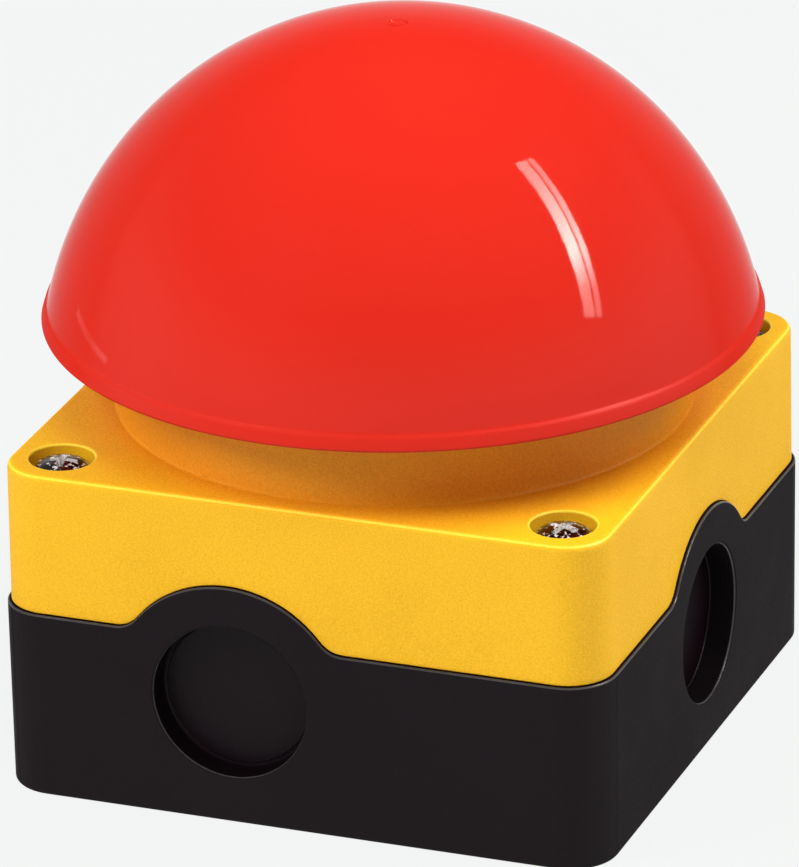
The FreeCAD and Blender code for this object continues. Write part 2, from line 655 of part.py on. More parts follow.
def contact_carrier():
    """Folded plate with an upright tab at each end of each contact block."""
    half_x = BLOCK_PITCH / 2 + BLOCK_WIDTH / 2 + CARRIER_BORDER
    half_y = BLOCK_LENGTH / 2 + TAB_THICKNESS
    plate = rounded_block(half_x, half_y, CARRIER_CORNER, CARRIER_LOW, BLOCK_LOW)
    tabs = []
    for side_x in (-1, 1):
        for side_y in (-1, 1):
            y_range = centred(TAB_THICKNESS, side_y * (half_y - TAB_THICKNESS / 2))
            x_range = centred(TAB_WIDTH, side_x * BLOCK_PITCH / 2)
            tabs.append(block(x_range, y_range, (CARRIER_LOW, BLOCK_LOW + TAB_HEIGHT)))
    holes = [cylinder(CARRIER_SCREW_RADIUS, CARRIER_LOW, BLOCK_LOW, x, y) for x, y in CARRIER_SCREWS]
    return cut(fuse([plate] + tabs), holes)


def slotted_screw(x, y, radius, head_radius, low, seat, top):
    shank = cylinder(radius, low, seat, x, y)
    head = cylinder(head_radius, seat, top, x, y)
    slot = block(centred(head_radius * 2, x), centred(SLOT_WIDTH, y), (top - SLOT_DEPTH, top))
    return cut(head.fuse(shank), [slot])


def carrier_screw(x, y):
    top = BLOCK_LOW + CARRIER_HEAD_HEIGHT
    return slotted_screw(x, y, CARRIER_SCREW_RADIUS, CARRIER_HEAD_RADIUS, HOUSING_FLOOR / 2, BLOCK_LOW, top)


def on_side(shape, side):
    """A piece drawn for the block at +X, mirrored for the one at -X."""
    return shape if side > 0 else shape.mirror(Vector(), Vector(1, 0, 0))


def strip_outline(raised):
    """Side view of one terminal strip, from its screw end in to its contact, as (y, z) points."""
    outer = BLOCK_LENGTH / 2
    inner = STRIP_REACH
    if not raised:
        return [(outer, SEAT_LOW), (outer, SEAT_TOP), (inner, SEAT_TOP), (inner, SEAT_LOW)]
    top = CLOSED_STRIP_LOW + STRIP_THICKNESS
    wall = TOWER_LENGTH / 2
    back = wall - STRIP_THICKNESS
    outline = [(outer, SEAT_LOW), (outer, SEAT_TOP), (wall, SEAT_TOP), (wall, top)]
    return outline + [(inner, top), (inner, CLOSED_STRIP_LOW), (back, CLOSED_STRIP_LOW), (back, SEAT_LOW)]


def strip_blank(raised, end):
    x = BLOCK_PITCH / 2 - STRIP_WIDTH / 2
    face = Part.Face(polygon([Vector(x, end * y, z) for y, z in strip_outline(raised)]))
    return face.extrude(Vector(STRIP_WIDTH, 0, 0))


def terminal_strip(raised, end):
    """Bent strip with a contact tip inside the block and a screw hole outside it."""
    x = BLOCK_PITCH / 2
    tip_y = end * TIP_SPACING / 2
    low = CLOSED_STRIP_LOW - TIP_HEIGHT if raised else SEAT_TOP
    tip = cylinder(TIP_RADIUS, low, low + TIP_HEIGHT, x, tip_y)
    hole = cylinder(TERMINAL_SCREW_RADIUS, SEAT_LOW, SEAT_TOP, x, end * TERMINAL_Y)
    return cut(strip_blank(raised, end).fuse(tip), [hole])


def block_chamber(side_range):
    """Space inside a contact block, over one span of its width."""
    length = TOWER_LENGTH - 2 * BLOCK_WALL
    return block(side_range, centred(length), (CHAMBER_LOW, CHAMBER_TOP))


def contact_housing(raised):
    """Contact block with a tower over its chamber and a walled screw seat at each end."""
    x = BLOCK_PITCH / 2
    width = centred(BLOCK_WIDTH, x)
    body = [block(width, centred(BLOCK_LENGTH), (BLOCK_LOW, SEAT_LOW))]
    body.append(block(width, centred(TOWER_LENGTH), (BLOCK_LOW, BLOCK_TOP)))
    cheek_top = BLOCK_TOP - CHEEK_DROP
    for low in (width[0], width[1] - CHEEK_WALL):
        body.append(block((low, low + CHEEK_WALL), centred(BLOCK_LENGTH), (BLOCK_LOW, cheek_top)))
    removed = [block_chamber((width[0] + BLOCK_SIDE_WALL, width[1]))]
    removed.append(cylinder(PLUNGER_RADIUS + RUNNING_FIT, CHAMBER_TOP, BLOCK_TOP, x, 0))
    for end in (-1, 1):
        removed.append(strip_blank(raised, end))
        hole_low = BLOCK_LOW + TERMINAL_FLOOR
        removed.append(cylinder(TERMINAL_SCREW_RADIUS, hole_low, SEAT_LOW, x, end * TERMINAL_Y))
    return cut(fuse(body), removed)


def contact_lid():
    outer = BLOCK_PITCH / 2 + BLOCK_WIDTH / 2
    return block_chamber((outer - BLOCK_LID, outer))


def contact_plunger(raised):
    """Round pin on a crosshead whose window holds the bridge."""
    x = BLOCK_PITCH / 2
    pin = cylinder(PLUNGER_RADIUS, CHAMBER_TOP, PLATE_LOW, x, 0)
    head = block(centred(CROSSHEAD_WIDTH, x), centred(CROSSHEAD_LENGTH), (CROSSHEAD_LOW, CHAMBER_TOP))
    low = CLOSED_BRIDGE_LOW if raised else OPEN_BRIDGE_TOP - WINDOW_HEIGHT
    window = block(centred(BRIDGE_WIDTH, x), centred(CROSSHEAD_LENGTH), (low, low + WINDOW_HEIGHT))
    return cut(pin.fuse(head), [window])


def contact_bridge(raised):
    """Moving strip with a tip at each end, on the side that meets the fixed contacts."""
    x = BLOCK_PITCH / 2
    low = CLOSED_BRIDGE_LOW if raised else OPEN_BRIDGE_TOP - BRIDGE_THICKNESS
    tip_low = low + BRIDGE_THICKNESS if raised else low - TIP_HEIGHT
    strip = block(centred(BRIDGE_WIDTH, x), centred(BRIDGE_LENGTH), (low, low + BRIDGE_THICKNESS))
    tips = []
    for end in (-1, 1):
        tips.append(cylinder(TIP_RADIUS, tip_low, tip_low + TIP_HEIGHT, x, end * TIP_SPACING / 2))
    return fuse([strip] + tips)


def contact_spring():
    radius = CONTACT_SPRING_RADIUS
    coil = helical_spring(radius, CONTACT_SPRING_WIRE, CONTACT_SPRING_TURNS, CHAMBER_LOW, CROSSHEAD_LOW)
    coil.translate(Vector(BLOCK_PITCH / 2, 0, 0))
    return coil


def terminal_clamp(end):
    y = end * TERMINAL_Y
    x = BLOCK_PITCH / 2
    plate = block(centred(CLAMP_WIDTH, x), centred(CLAMP_LENGTH, y), (SEAT_TOP, SEAT_TOP + CLAMP_THICKNESS))
    return cut(plate, [cylinder(TERMINAL_SCREW_RADIUS, SEAT_TOP, SEAT_TOP + CLAMP_THICKNESS, x, y)])


def terminal_screw(end):
    seat = SEAT_TOP + CLAMP_THICKNESS
    low = BLOCK_LOW + TERMINAL_FLOOR
    x = BLOCK_PITCH / 2
    top = seat + TERMINAL_HEAD_HEIGHT
    return slotted_screw(x, end * TERMINAL_Y, TERMINAL_SCREW_RADIUS, TERMINAL_HEAD_RADIUS, low, seat, top)


def write(name, solids):
    """One STEP file per node. Like pieces share a node as separate solids."""
    shape = solids[0] if len(solids) == 1 else Part.makeCompound(solids)
    shape.exportStep(os.path.join("parts", name + ".step"))


os.makedirs("parts", exist_ok=True)
write("lower_housing", [lower_housing()])
write("housing_gasket", [gasket_ring()])
write("upper_cover", [upper_cover()])
write("cover_screws", [cover_screw(x, y) for x, y in CORNERS])
write("cover_screw_seals", [screw_seal(x, y) for x, y in CORNERS])
write("cover_inserts", [cover_insert(x, y) for x, y in CORNERS])
write("dome", [dome()])
write("dome_insert", [dome_insert()])
write("plunger_stem", [plunger_stem()])
write("actuator_plate", [actuator_plate()])
write("dome_screw", [dome_screw()])
write("guide_bush", [guide_bush()])
write("wiper_seal", [wiper_seal()])
write("stop_washer", [stop_washer()])
write("return_spring", [return_spring()])
write("contact_carrier", [contact_carrier()])
write("carrier_screws", [carrier_screw(x, y) for x, y in CARRIER_SCREWS])

# The normally open block stands at +X and the normally closed one at -X
for kind, side in (("open", 1), ("closed", -1)):
    raised_strips = kind == "closed"
    write("contact_housing_" + kind, [on_side(contact_housing(raised_strips), side)])
    write("contact_lid_" + kind, [on_side(contact_lid(), side)])
    write("contact_plunger_" + kind, [on_side(contact_plunger(raised_strips), side)])
    write("contact_bridge_" + kind, [on_side(contact_bridge(raised_strips), side)])
    write("contact_spring_" + kind, [on_side(contact_spring(), side)])
    write("terminal_strips_" + kind, [on_side(terminal_strip(raised_strips, end), side) for end in (-1, 1)])
    write("terminal_clamps_" + kind, [on_side(terminal_clamp(end), side) for end in (-1, 1)])
    write("terminal_screws_" + kind, [on_side(terminal_screw(end), side) for end in (-1, 1)])
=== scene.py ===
import json
import math

import bmesh
import bpy
from mathutils import Matrix, Vector


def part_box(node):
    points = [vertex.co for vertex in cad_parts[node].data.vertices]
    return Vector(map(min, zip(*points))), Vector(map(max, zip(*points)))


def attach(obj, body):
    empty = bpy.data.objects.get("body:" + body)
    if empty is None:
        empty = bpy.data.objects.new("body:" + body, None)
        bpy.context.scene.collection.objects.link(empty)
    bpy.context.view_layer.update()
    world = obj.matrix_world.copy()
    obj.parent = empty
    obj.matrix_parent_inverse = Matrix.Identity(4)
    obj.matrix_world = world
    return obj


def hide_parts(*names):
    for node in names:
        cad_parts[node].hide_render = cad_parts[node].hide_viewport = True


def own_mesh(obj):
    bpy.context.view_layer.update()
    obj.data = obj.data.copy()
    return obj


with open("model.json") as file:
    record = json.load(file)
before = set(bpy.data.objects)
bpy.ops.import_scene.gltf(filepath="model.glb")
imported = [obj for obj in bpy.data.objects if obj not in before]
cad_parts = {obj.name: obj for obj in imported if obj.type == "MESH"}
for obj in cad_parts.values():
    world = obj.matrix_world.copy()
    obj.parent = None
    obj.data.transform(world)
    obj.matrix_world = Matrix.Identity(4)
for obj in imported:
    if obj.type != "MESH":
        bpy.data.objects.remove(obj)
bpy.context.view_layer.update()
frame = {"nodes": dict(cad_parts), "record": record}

# Lower housing
# The black tub that stands on the floor, moulded in one piece from glass-filled nylon. Its joint line
# arches over two blind cable entries, and the yellow cover sits on it a little inside its lip.
mm = 0.001
body_half = 42.5
body_draft = 0.15
body_corner = 6.5
housing_wall = 3.0
housing_floor = 3.0
seam_height = 26.2
arch_radius = 16.45
arch_fillet = 4.0
entry_height = 17.4
front_entry_x = -9.2
right_entry_y = 1.2
entry_radius = 10.75
entry_depth = 3.5
entry_mouth = 0.3
membrane = 1.2
pad_radius = 13.15
score_inset = 0.3
score_depth = 0.22
score_width = 0.45
mount_x = 30.0
mount_y = 22.0
mount_hole = 2.75
mount_land = 5.5
centre_land = 12.0
foot_land = 4.0
foot_recess = 0.8
foot_edge = 0.6
lip_edge = 0.22
ledge_width = 1.5
side_steps = 150
corner_steps = 14


def square_ring(half, corner):
    """Points round a rounded square, always as many and in the same order."""
    points = []
    inset = half - corner
    for quarter in range(4):
        turn = math.radians(90 * quarter)
        cos, sin = round(math.cos(turn)), round(math.sin(turn))
        side = [(half, -inset + 2 * inset * step / side_steps) for step in range(side_steps)]
        for step in range(corner_steps):
            angle = math.radians(90) * step / corner_steps
            side.append((inset + corner * math.cos(angle), inset + corner * math.sin(angle)))
        points += [(x * cos - y * sin, x * sin + y * cos) for x, y in side]
    return points


def arch_rise(along):
    """Height of the joint line at a distance from an entry's centre line."""
    along = abs(along)
    fillet_z = seam_height + arch_fillet
    rise = fillet_z - entry_height
    spread = math.sqrt((arch_radius + arch_fillet) ** 2 - rise ** 2)
    tangent = spread * arch_radius / (arch_radius + arch_fillet)
    if along < tangent:
        return entry_height + math.sqrt(arch_radius ** 2 - along ** 2)
    if along < spread:
        return fillet_z - math.sqrt(arch_fillet ** 2 - (spread - along) ** 2)
    return seam_height


def seam(x, y):
    """Height of the joint line over a point of the wall."""
    level = seam_height
    if y < -body_half + body_corner and abs(x) < body_half - body_corner / 2:
        level = max(level, arch_rise(x - front_entry_x))
    if x > body_half - body_corner and abs(y) < body_half - body_corner / 2:
        level = max(level, arch_rise(y - right_entry_y))
    return level


def mesh_piece(name, points, faces, slots=()):
    """Object from points in millimetres, with a material slot for each face where given."""
    mesh = bpy.data.meshes.new(name)
    mesh.from_pydata([Vector(point) * mm for point in points], [], faces)
    for face, slot in zip(mesh.polygons, slots):
        face.material_index = slot
    piece = bpy.data.objects.new(name, mesh)
    bpy.context.scene.collection.objects.link(piece)
    solid = bmesh.new()
    solid.from_mesh(mesh)
    bmesh.ops.remove_doubles(solid, verts=solid.verts, dist=1e-7)
    bmesh.ops.recalc_face_normals(solid, faces=solid.faces)
    solid.to_mesh(mesh)
    solid.free()
    return piece


def loft(name, rings, edge_levels=None):
    """Skin over rings with as many points each, with a material slot for some of its levels."""
    level_slots = edge_levels or {}
    count = len(rings[0])
    points = [point for ring in rings for point in ring]
    faces = []
    slots = []
    for level in range(len(rings) - 1):
        low, high = level * count, (level + 1) * count
        for step in range(count):
            following = (step + 1) % count
            faces.append((low + step, low + following, high + following, high + step))
            slots.append(level_slots.get(level, 0))
    faces.append(tuple(range(count)))
    faces.append(tuple((len(rings) - 1) * count + step for step in range(count)))
    return mesh_piece(name, points, faces, slots + [0, 0])


def turned(name, outline, steps=96, edge_levels=None):
    """Solid turned about Z from (radius, z) points, whose ends lie on the axis."""
    rings = []
    for radius, z in outline:
        angles = [2 * math.pi * step / steps for step in range(steps)]
        rings.append([(radius * math.cos(angle), radius * math.sin(angle), z) for angle in angles])
    return loft(name, rings, edge_levels)


def carve(piece, cutters, operation="DIFFERENCE"):
    """Cuts other pieces out of a piece, or joins them to it, and throws the tools away."""
    for cutter in cutters:
        step = piece.modifiers.new("carve", "BOOLEAN")
        step.operation = operation
        step.solver = "EXACT"
        step.material_mode = "TRANSFER"
        step.object = cutter
    bpy.context.view_layer.update()
    carved = bpy.data.meshes.new_from_object(piece.evaluated_get(bpy.context.evaluated_depsgraph_get()))
    piece.modifiers.clear()
    piece.data = carved
    for cutter in cutters:
        bpy.data.objects.remove(cutter)


def smooth_faces(piece, sharp_degrees=28):
    """Smooth shading that keeps flats flat and true edges sharp."""
    piece.data.shade_smooth()
    piece.data.set_sharp_from_angle(angle=math.radians(sharp_degrees))
    weighted = piece.modifiers.new("weighted", "WEIGHTED_NORMAL")
    weighted.keep_sharp = True
    weighted.weight = 100


def arc(centre_r, centre_z, radius, start, end, steps=5):
    """Points of an edge radius, as (radius, z), between two angles in degrees."""
    points = []
    for step in range(steps + 1):
        angle = math.radians(start + (end - start) * step / steps)
        points.append((centre_r + radius * math.cos(angle), centre_z + radius * math.sin(angle)))
    return points


def add_group(name, inputs, outputs):
    """Empty node group with (kind, name, value) inputs and (kind, name) outputs."""
    group = bpy.data.node_groups.new(name, "ShaderNodeTree")
    for kind, label, value in inputs:
        socket = group.interface.new_socket(label, in_out="INPUT", socket_type="NodeSocket" + kind)
        socket.default_value = value
    for kind, label in outputs:
        group.interface.new_socket(label, in_out="OUTPUT", socket_type="NodeSocket" + kind)
    return group, group.nodes.new("NodeGroupInput"), group.nodes.new("NodeGroupOutput")


def add_node(tree, kind, links=(), **values):
    """A node with its values set and its inputs linked, as (input, source) pairs."""
    node = tree.nodes.new("ShaderNode" + kind)
    for key, value in values.items():
        setattr(node, key, value)
    for socket, source in links:
        if isinstance(source, bpy.types.NodeSocket):
            tree.links.new(source, node.inputs[socket])
        else:
            node.inputs[socket].default_value = source
    return node


# Spark-eroded mould texture: fine pits of two sizes, with a slow mottle of tone
moulded_grain, grain_in, grain_out = add_group(
    "moulded_grain",
    [
        ("Float", "Pits Per Metre", 4000.0), ("Float", "Depth", 0.3),
        ("Float", "Mottle", 0.1), ("Float", "Flecks", 0.0),
    ],
    [("Vector", "Normal"), ("Float", "Tone")],
)
place = add_node(moulded_grain, "TexCoord").outputs["Object"]
pits = add_node(moulded_grain, "TexNoise", [("Vector", place), ("Detail", 3.0), ("Roughness", 0.6)])
moulded_grain.links.new(grain_in.outputs["Pits Per Metre"], pits.inputs["Scale"])
pit_bump = add_node(
    moulded_grain, "Bump",
    [("Strength", grain_in.outputs["Depth"]), ("Distance", 0.0001), ("Height", pits.outputs["Fac"])],
)
cloud = add_node(moulded_grain, "TexNoise", [("Vector", place), ("Scale", 60.0), ("Detail", 4.0)])
tone = add_node(
    moulded_grain, "MapRange",
    [("Value", cloud.outputs["Fac"]), ("From Min", 0.3), ("From Max", 0.7), ("To Min", 1.0)],
)
darkest = add_node(
    moulded_grain, "Math", [(0, 1.0), (1, grain_in.outputs["Mottle"])], operation="SUBTRACT",
)
moulded_grain.links.new(darkest.outputs[0], tone.inputs["To Max"])
fleck = add_node(moulded_grain, "Math", [(0, pits.outputs["Fac"]), (1, 0.5)], operation="SUBTRACT")
fleck = add_node(
    moulded_grain, "Math",
    [(0, fleck.outputs[0]), (1, grain_in.outputs["Flecks"]), (2, tone.outputs["Result"])],
    operation="MULTIPLY_ADD",
)
moulded_grain.links.new(pit_bump.outputs["Normal"], grain_out.inputs["Normal"])
moulded_grain.links.new(fleck.outputs[0], grain_out.inputs["Tone"])


def add_material(name):
    """Material with only a Principled BSDF, and its tree and that shader."""
    material = bpy.data.materials.new(name)
    material.use_nodes = True
    tree = material.node_tree
    return material, tree, tree.nodes["Principled BSDF"]


def add_effect(tree, group, **values):
    """A group's node in a material, with its inputs set by name."""
    node = tree.nodes.new("ShaderNodeGroup")
    node.node_tree = group
    for label, value in values.items():
        node.inputs[label.replace("_", " ")].default_value = value
    return node


def toned(tree, colour, tone_socket):
    """A colour, or the colour from a socket, darkened by a tone mask."""
    if not isinstance(colour, bpy.types.NodeSocket):
        colour = (*colour, 1.0)
    mix = add_node(
        tree, "Mix", [("Factor", 1.0), (6, colour), (7, tone_socket)],
        data_type="RGBA", blend_type="MULTIPLY",
    )
    return mix.outputs[2]


def fade_sheen(tree, shader, straight, slanting):
    """Lowers the mirror level from one (facing, level) pair to another as the surface turns away."""
    facing = add_node(tree, "LayerWeight", [("Blend", 0.5)])
    sheen = add_node(
        tree, "MapRange",
        [
            ("Value", facing.outputs["Facing"]), ("From Min", straight[0]), ("From Max", slanting[0]),
            ("To Min", straight[1]), ("To Max", slanting[1]),
        ],
    )
    tree.links.new(sheen.outputs["Result"], shader.inputs["Specular IOR Level"])


def vary_gloss(tree, shader, source, darkest, dull, glossy):
    """Roughness that follows a mask, from its darkest tone up to full tone."""
    rough = add_node(
        tree, "MapRange",
        [("Value", source), ("From Min", darkest), ("To Min", dull), ("To Max", glossy)],
    )
    tree.links.new(rough.outputs["Result"], shader.inputs["Roughness"])


def dress(piece, *materials):
    """Gives a piece its materials. Clearing old ones also clears the slots of the faces."""
    if piece.data.materials:
        piece.data.materials.clear()
    for material in materials:
        piece.data.materials.append(material)


black_nylon, tree, shader = add_material("black_nylon")
grain = add_effect(tree, moulded_grain, Pits_Per_Metre=3200.0, Depth=0.3, Mottle=0.12, Flecks=0.3)
tree.links.new(toned(tree, (0.0050, 0.0018, 0.0034), grain.outputs["Tone"]), shader.inputs["Base Color"])
fade_sheen(tree, shader, (0.2, 0.15), (0.65, 0.016))
tree.links.new(grain.outputs["Normal"], shader.inputs["Normal"])
vary_gloss(tree, shader, grain.outputs["Tone"], 0.88, 0.5, 0.44)

# Darker, duller black for the walls of the entries: painted shade
black_recess_shade, tree, shader = add_material("black_nylon_recess_painted_shade")
grain = add_effect(tree, moulded_grain, Pits_Per_Metre=2200.0, Depth=0.3, Mottle=0.3, Flecks=0.6)
tree.links.new(toned(tree, (0.0035, 0.0018, 0.0026), grain.outputs["Tone"]), shader.inputs["Base Color"])
tree.links.new(grain.outputs["Normal"], shader.inputs["Normal"])
vary_gloss(tree, shader, grain.outputs["Tone"], 0.7, 0.6, 0.5)
shader.inputs["Specular IOR Level"].default_value = 0.12

# Lighter grey on the lip at the joint, the mouths of the entries and one side of their score rings: a
# painted highlight
black_edge_highlight, tree, shader = add_material("black_nylon_painted_highlight")
grain = add_effect(tree, moulded_grain, Pits_Per_Metre=1500.0, Depth=0.3, Mottle=0.5, Flecks=0.8)
tree.links.new(toned(tree, (0.045, 0.040, 0.042), grain.outputs["Tone"]), shader.inputs["Base Color"])
tree.links.new(grain.outputs["Normal"], shader.inputs["Normal"])
vary_gloss(tree, shader, grain.outputs["Tone"], 0.5, 0.45, 0.3)


def housing_half(z):
    """Half width of the tub's tapered wall at a height."""
    return body_half - body_draft + body_draft * z / seam_height


rings = []
for offset, z in arc(-foot_edge, foot_edge, foot_edge, -90, 0):
    rings.append([(x, y, z) for x, y in square_ring(housing_half(z) + offset, body_corner + offset)])
for share in (0.25, 0.5, 0.75, 0.96):
    outer = square_ring(housing_half(seam_height * share), body_corner)
    rings.append([(x, y, foot_edge + (seam(x, y) - lip_edge - foot_edge) * share) for x, y in outer])
# The lip's round takes the painted highlight
lip_levels = {len(rings) + step: 1 for step in range(3)}
for offset, rise in arc(-lip_edge, -lip_edge, lip_edge, 0, 90, 3):
    outer = square_ring(housing_half(seam_height) + offset, body_corner + offset)
    rings.append([(x, y, seam(x, y) + rise) for x, y in outer])
inner = square_ring(body_half - housing_wall, body_corner - housing_wall)
ledge = square_ring(body_half - ledge_width, body_corner - ledge_width)
rings.append([(x, y, seam(*wall)) for (x, y), wall in zip(ledge, outer)])
rings.append([(x, y, seam(*wall)) for (x, y), wall in zip(inner, outer)])
rings.append([(x, y, housing_floor) for x, y in inner])
lower_housing = loft("lower_housing_skin", rings, lip_levels)
dress(lower_housing, black_nylon, black_edge_highlight)


def entry_cutter(name, outline, place, edge_levels=None):
    """Turned cutter with its axis along the way into the wall."""
    cutter = turned(name, outline, 144, edge_levels)
    cutter.data.transform(place)
    dress(cutter, black_nylon, black_edge_highlight, black_recess_shade)
    return cutter


# Each recess has a rounded mouth, and its membrane a scored ring at the edge, where it is knocked out.
# Outlines are measured from just inside the wall's face, and start clear of it.
wall_skin = 0.05
clear = 3.0
recess_outline = [(0, clear), (entry_radius + clear, clear), (entry_radius + entry_mouth, 0.0)]
# The middle of each mouth's round and one side of its score take the painted highlight
recess_levels = {len(recess_outline) + step: 1 for step in (2, 3)}
recess_outline += arc(entry_radius + entry_mouth, -entry_mouth - wall_skin, entry_mouth, 90, 180, 4)
# The wall of each recess takes the painted shade
recess_levels[len(recess_outline) - 1] = 2
recess_outline += [(entry_radius, -entry_depth), (entry_radius - score_inset, -entry_depth)]
score_middle = entry_radius - score_inset - score_width / 2
recess_outline += [(score_middle, -entry_depth - score_depth)]
recess_levels[len(recess_outline) - 1] = 1
recess_outline += [(score_middle - score_width / 2, -entry_depth), (0, -entry_depth)]
face_front = Matrix.Translation(Vector((front_entry_x, -body_half + wall_skin, entry_height)) * mm)
face_front = face_front @ Matrix.Rotation(math.radians(90), 4, "X")
face_right = Matrix.Translation(Vector((body_half - wall_skin, right_entry_y, entry_height)) * mm)
face_right = face_right @ Matrix.Rotation(math.radians(90), 4, "Y")

pad_back = -entry_depth - membrane
pad_outline = [(0, -1.0), (pad_radius, -1.0), (pad_radius, pad_back), (0, pad_back)]
pads = [entry_cutter("pad", pad_outline, place) for place in (face_front, face_right)]
carve(lower_housing, pads, "UNION")
cutters = []
for place in (face_front, face_right):
    cutters.append(entry_cutter("recess", recess_outline, place, recess_levels))

# The underside is hollow between lands at its rim, its middle and each hole for a floor screw
foot_half = body_half - body_draft - foot_land
hollow = [[(x, y, z) for x, y in square_ring(foot_half, body_corner - 2)] for z in (-1.0, foot_recess)]
foot_cutter = loft("foot_hollow", hollow)
lands = [turned("land", [(0, -2), (centre_land, -2), (centre_land, 2), (0, 2)])]
for side_x in (-1, 1):
    for side_y in (-1, 1):
        shift = Matrix.Translation(Vector((side_x * mount_x, side_y * mount_y, 0)) * mm)
        land = turned("land", [(0, -2), (mount_land, -2), (mount_land, 2), (0, 2)], 48)
        land.data.transform(shift)
        lands.append(land)
        hole = turned("hole", [(0, -2), (mount_hole, -2), (mount_hole, 6), (0, 6)], 48)
        hole.data.transform(shift)
        cutters.append(hole)
carve(foot_cutter, lands)
cutters.append(foot_cutter)
carve(lower_housing, cutters)
smooth_faces(lower_housing)
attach(lower_housing, "base")
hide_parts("lower_housing")

# Upper cover
# The yellow cover, moulded in one piece with the round collar that the dome slides over. Four screws in
# counterbores hold it, and its faces have a spark-eroded grain.
cover_inset = 0.4
cover_draft = 0.15
cover_wall = 2.8
cover_roof = 3.0
cover_top = 46.0
cover_edge = 0.9
cover_low_edge = 0.25
seam_gap = 0.02
collar_radius = 38.4
collar_height = 14.0
collar_slope = 2.6
collar_edge = 2.0
collar_crease = 0.5
collar_foot = collar_radius + 2.0
guide_outer = 13.0
guide_inner = 9.5
guide_rise = 6.0
screw_offset = 35.0
counterbore = 4.35
counterbore_depth = 3.9
bore_edge = 0.3
screw_hole = 2.1
post_radius = 5.75

# Painted red bounce light and shade from the dome above the cover: full on the collar and the top face
# round it, fading out towards the corners, and none on the walls
tint_full, tint_none = 39.0, 51.0
painted_dome_bounce, _, near_out = add_group("painted_dome_bounce", [], [("Float", "Mask")])
place = add_node(painted_dome_bounce, "TexCoord").outputs["Object"]
flat = add_node(painted_dome_bounce, "VectorMath", [(0, place), (1, (1, 1, 0))], operation="MULTIPLY")
radius = add_node(painted_dome_bounce, "VectorMath", [(0, flat.outputs[0])], operation="LENGTH")
inward = add_node(
    painted_dome_bounce, "MapRange",
    [("Value", radius.outputs["Value"]), ("From Min", tint_none * mm), ("From Max", tint_full * mm)],
)
level = add_node(painted_dome_bounce, "SeparateXYZ", [(0, place)]).outputs["Z"]
upward = add_node(
    painted_dome_bounce, "MapRange",
    [("Value", level), ("From Min", (cover_top - 0.7) * mm), ("From Max", (cover_top - 0.1) * mm)],
)
bounce_mask = add_node(
    painted_dome_bounce, "Math", [(0, inward.outputs["Result"]), (1, upward.outputs["Result"])],
    operation="MULTIPLY",
)
painted_dome_bounce.links.new(bounce_mask.outputs[0], near_out.inputs["Mask"])

yellow_plastic, tree, shader = add_material("yellow_plastic")
grain = add_effect(tree, moulded_grain, Pits_Per_Metre=3600.0, Depth=0.9, Mottle=0.06, Flecks=0.5)
near = add_effect(tree, painted_dome_bounce)
# The base colour turns a deeper orange under the dome, as painted bounce light and shade
shade = add_node(tree, "ValToRGB", [("Fac", near.outputs["Mask"])])
shade.color_ramp.elements[0].color = (0.87, 0.465, 0.014, 1)
shade.color_ramp.elements[1].color = (0.98, 0.385, 0.016, 1)
yellow_tone = toned(tree, shade.outputs["Color"], grain.outputs["Tone"])
tree.links.new(yellow_tone, shader.inputs["Base Color"])
fade_sheen(tree, shader, (0.2, 0.2), (0.65, 0.05))
tree.links.new(grain.outputs["Normal"], shader.inputs["Normal"])
vary_gloss(tree, shader, grain.outputs["Tone"], 0.94, 0.52, 0.44)

# Lighter yellow for the rounded top edge and the counterbore rims: a painted highlight
yellow_edge_highlight, tree, shader = add_material("yellow_plastic_painted_highlight")
grain = add_effect(tree, moulded_grain, Pits_Per_Metre=1800.0, Depth=0.6, Mottle=0.06, Flecks=0.3)
tree.links.new(toned(tree, (0.94, 0.66, 0.045), grain.outputs["Tone"]), shader.inputs["Base Color"])
fade_sheen(tree, shader, (0.2, 0.3), (0.65, 0.1))
tree.links.new(grain.outputs["Normal"], shader.inputs["Normal"])
vary_gloss(tree, shader, grain.outputs["Tone"], 0.9, 0.45, 0.35)


def cover_half(z):
    """Half width of the cover's tapered wall at a height."""
    return body_half - cover_inset - cover_draft * z / cover_top


cover_corner = body_corner - cover_inset
low_half = cover_half(seam_height)
inner = square_ring(low_half - cover_wall, cover_corner - cover_wall)
outer = square_ring(low_half, cover_corner)
rings = [[(x, y, cover_top - cover_roof) for x, y in inner]]
rings.append([(x, y, seam(*wall) + seam_gap) for (x, y), wall in zip(inner, outer)])
for offset, rise in arc(-cover_low_edge, cover_low_edge, cover_low_edge, -90, 0, 3):
    ring = square_ring(low_half + offset, cover_corner + offset)
    rings.append([(x, y, seam(x, y) + rise + seam_gap) for x, y in ring])
wall_top = cover_top - cover_edge
for share in (0.2, 0.5, 0.8):
    ring = square_ring(cover_half(seam_height + 15 * share), cover_corner)
    lows = [seam(x, y) + cover_low_edge for x, y in ring]
    rings.append([(x, y, low + (wall_top - low) * share) for (x, y), low in zip(ring, lows)])
# The middle of the top edge's round takes the painted highlight
top_edge_levels = {len(rings) + step: 1 for step in (3, 4)}
for offset, z in arc(-cover_edge, cover_top - cover_edge, cover_edge, 0, 90, 8):
    ring = square_ring(cover_half(z) + offset, cover_corner + offset)
    rings.append([(x, y, z) for x, y in ring])
upper_cover = loft("upper_cover_skin", rings, top_edge_levels)
dress(upper_cover, yellow_plastic, yellow_edge_highlight)

